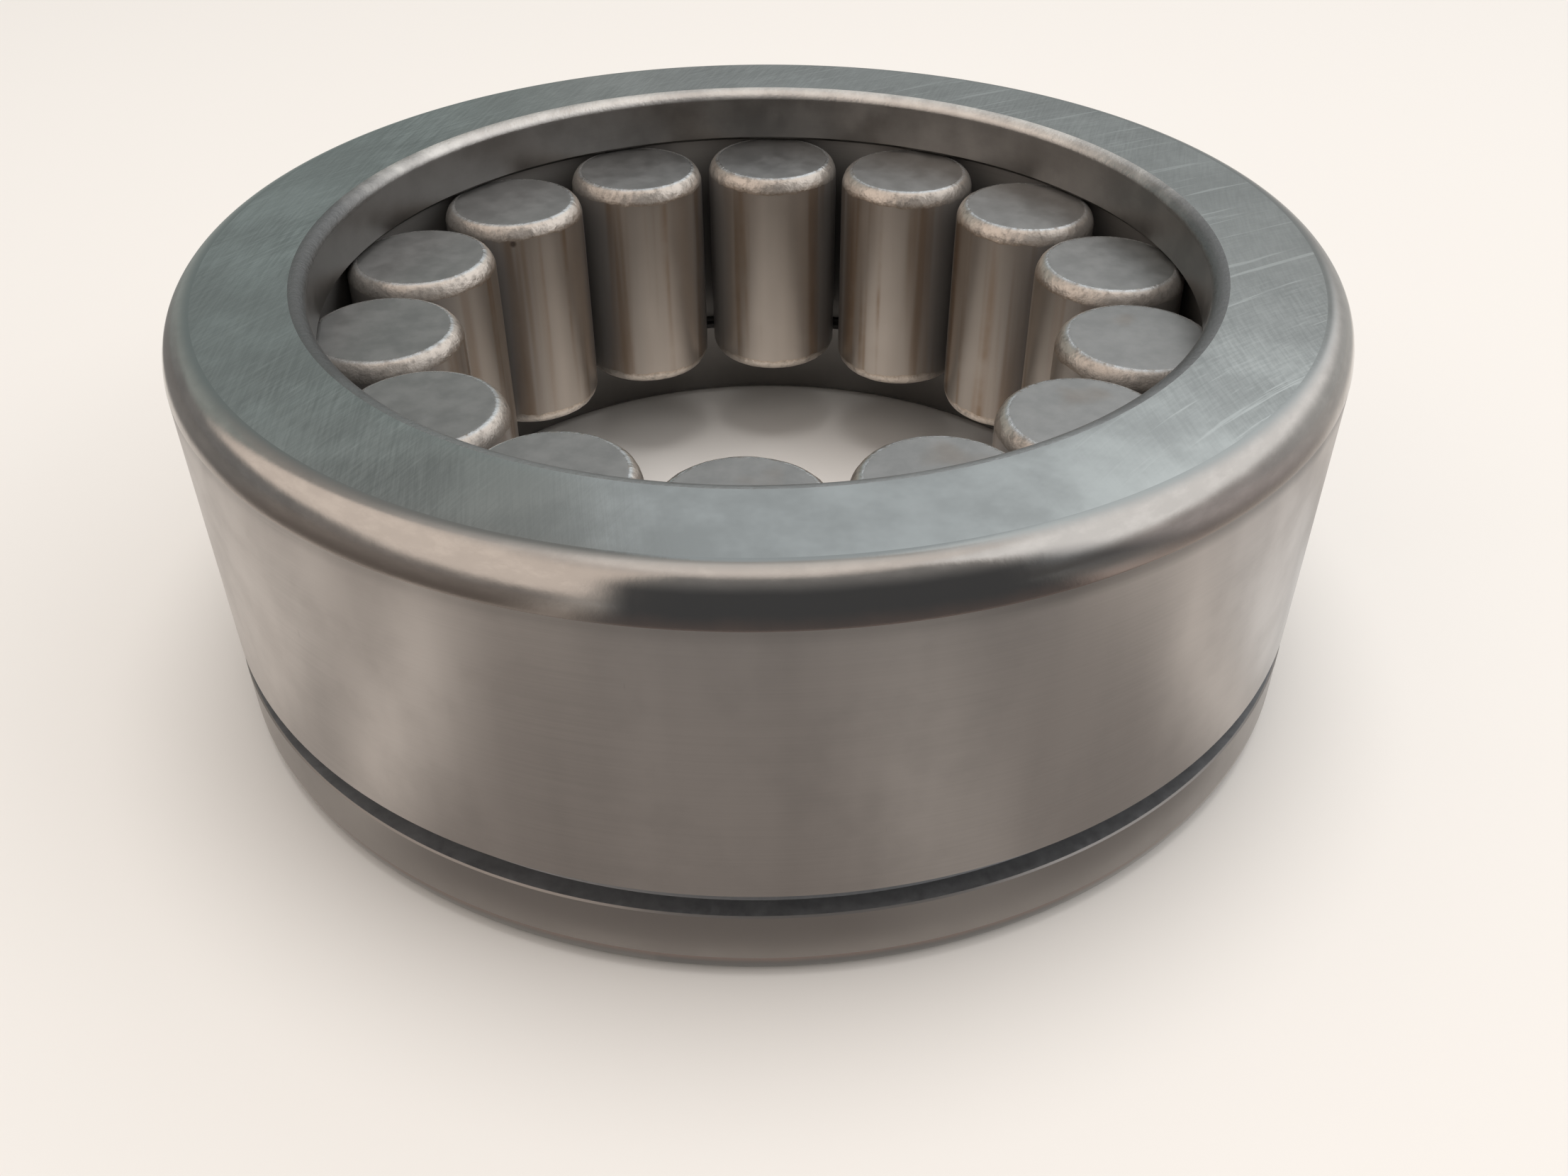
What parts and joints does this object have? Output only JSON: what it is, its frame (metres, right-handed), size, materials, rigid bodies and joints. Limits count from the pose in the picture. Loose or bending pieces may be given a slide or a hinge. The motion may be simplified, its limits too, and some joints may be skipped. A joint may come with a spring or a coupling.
{
  "type": "cylindrical roller bearing",
  "caption": "Heavy outer ring with two integral ribs and a snap-ring groove, holding a loose set of cylindrical rollers around an open shaft space.",
  "frame": {"origin": "centre of the ring's lower face, the one beside the snap-ring groove", "axes": "+Z is the bearing's axis, up through the shaft space; roller_01 stands on +Y and the numbers go clockwise seen from above"},
  "size_m": [0.09, 0.09, 0.033],
  "materials": {
    "ring_steel": "ground and tumbled bearing steel",
    "roller_steel": "satin ground bearing steel"
  },
  "bodies": {
    "outer_ring": {"outer_ring": "ring_steel"},
    "roller_01": {"roller_01": "roller_steel"},
    "roller_02": {"roller_02": "roller_steel"},
    "roller_03": {"roller_03": "roller_steel"},
    "roller_04": {"roller_04": "roller_steel"},
    "roller_05": {"roller_05": "roller_steel"},
    "roller_06": {"roller_06": "roller_steel"},
    "roller_07": {"roller_07": "roller_steel"},
    "roller_08": {"roller_08": "roller_steel"},
    "roller_09": {"roller_09": "roller_steel"},
    "roller_10": {"roller_10": "roller_steel"},
    "roller_11": {"roller_11": "roller_steel"},
    "roller_12": {"roller_12": "roller_steel"},
    "roller_13": {"roller_13": "roller_steel"},
    "roller_14": {"roller_14": "roller_steel"}
  },
  "joints": [
    {"name": "roller_set_orbit", "type": "hinge", "parent": "outer_ring", "child": "roller_01", "pos_m": [0, 0, 0], "axis": [0, 0, 1], "continuous": true},
    {"name": "roller_02_spin", "type": "hinge", "parent": "roller_01", "child": "roller_02", "pos_m": [0.01292, 0.02682, 0.0181], "axis": [0, 0, 1], "continuous": true},
    {"name": "roller_03_spin", "type": "hinge", "parent": "roller_01", "child": "roller_03", "pos_m": [0.02328, 0.01856, 0.0181], "axis": [0, 0, 1], "continuous": true},
    {"name": "roller_04_spin", "type": "hinge", "parent": "roller_01", "child": "roller_04", "pos_m": [0.02902, 0.00662, 0.0181], "axis": [0, 0, 1], "continuous": true},
    {"name": "roller_05_spin", "type": "hinge", "parent": "roller_01", "child": "roller_05", "pos_m": [0.02902, -0.00662, 0.0181], "axis": [0, 0, 1], "continuous": true},
    {"name": "roller_06_spin", "type": "hinge", "parent": "roller_01", "child": "roller_06", "pos_m": [0.02328, -0.01856, 0.0181], "axis": [0, 0, 1], "continuous": true},
    {"name": "roller_07_spin", "type": "hinge", "parent": "roller_01", "child": "roller_07", "pos_m": [0.01292, -0.02682, 0.0181], "axis": [0, 0, 1], "continuous": true},
    {"name": "roller_08_spin", "type": "hinge", "parent": "roller_01", "child": "roller_08", "pos_m": [0, -0.02977, 0.0181], "axis": [0, 0, 1], "continuous": true},
    {"name": "roller_09_spin", "type": "hinge", "parent": "roller_01", "child": "roller_09", "pos_m": [-0.01292, -0.02682, 0.0181], "axis": [0, 0, 1], "continuous": true},
    {"name": "roller_10_spin", "type": "hinge", "parent": "roller_01", "child": "roller_10", "pos_m": [-0.02328, -0.01856, 0.0181], "axis": [0, 0, 1], "continuous": true},
    {"name": "roller_11_spin", "type": "hinge", "parent": "roller_01", "child": "roller_11", "pos_m": [-0.02902, -0.00662, 0.0181], "axis": [0, 0, 1], "continuous": true},
    {"name": "roller_12_spin", "type": "hinge", "parent": "roller_01", "child": "roller_12", "pos_m": [-0.02902, 0.00662, 0.0181], "axis": [0, 0, 1], "continuous": true},
    {"name": "roller_13_spin", "type": "hinge", "parent": "roller_01", "child": "roller_13", "pos_m": [-0.02328, 0.01856, 0.0181], "axis": [0, 0, 1], "continuous": true},
    {"name": "roller_14_spin", "type": "hinge", "parent": "roller_01", "child": "roller_14", "pos_m": [-0.01292, 0.02682, 0.0181], "axis": [0, 0, 1], "continuous": true}
  ],
  "couplings": [
    {"joint": "roller_02_spin", "follows": "roller_set_orbit", "ratio": -5.8065},
    {"joint": "roller_03_spin", "follows": "roller_set_orbit", "ratio": -5.8065},
    {"joint": "roller_04_spin", "follows": "roller_set_orbit", "ratio": -5.8065},
    {"joint": "roller_05_spin", "follows": "roller_set_orbit", "ratio": -5.8065},
    {"joint": "roller_06_spin", "follows": "roller_set_orbit", "ratio": -5.8065},
    {"joint": "roller_07_spin", "follows": "roller_set_orbit", "ratio": -5.8065},
    {"joint": "roller_08_spin", "follows": "roller_set_orbit", "ratio": -5.8065},
    {"joint": "roller_09_spin", "follows": "roller_set_orbit", "ratio": -5.8065},
    {"joint": "roller_10_spin", "follows": "roller_set_orbit", "ratio": -5.8065},
    {"joint": "roller_11_spin", "follows": "roller_set_orbit", "ratio": -5.8065},
    {"joint": "roller_12_spin", "follows": "roller_set_orbit", "ratio": -5.8065},
    {"joint": "roller_13_spin", "follows": "roller_set_orbit", "ratio": -5.8065},
    {"joint": "roller_14_spin", "follows": "roller_set_orbit", "ratio": -5.8065}
  ]
}
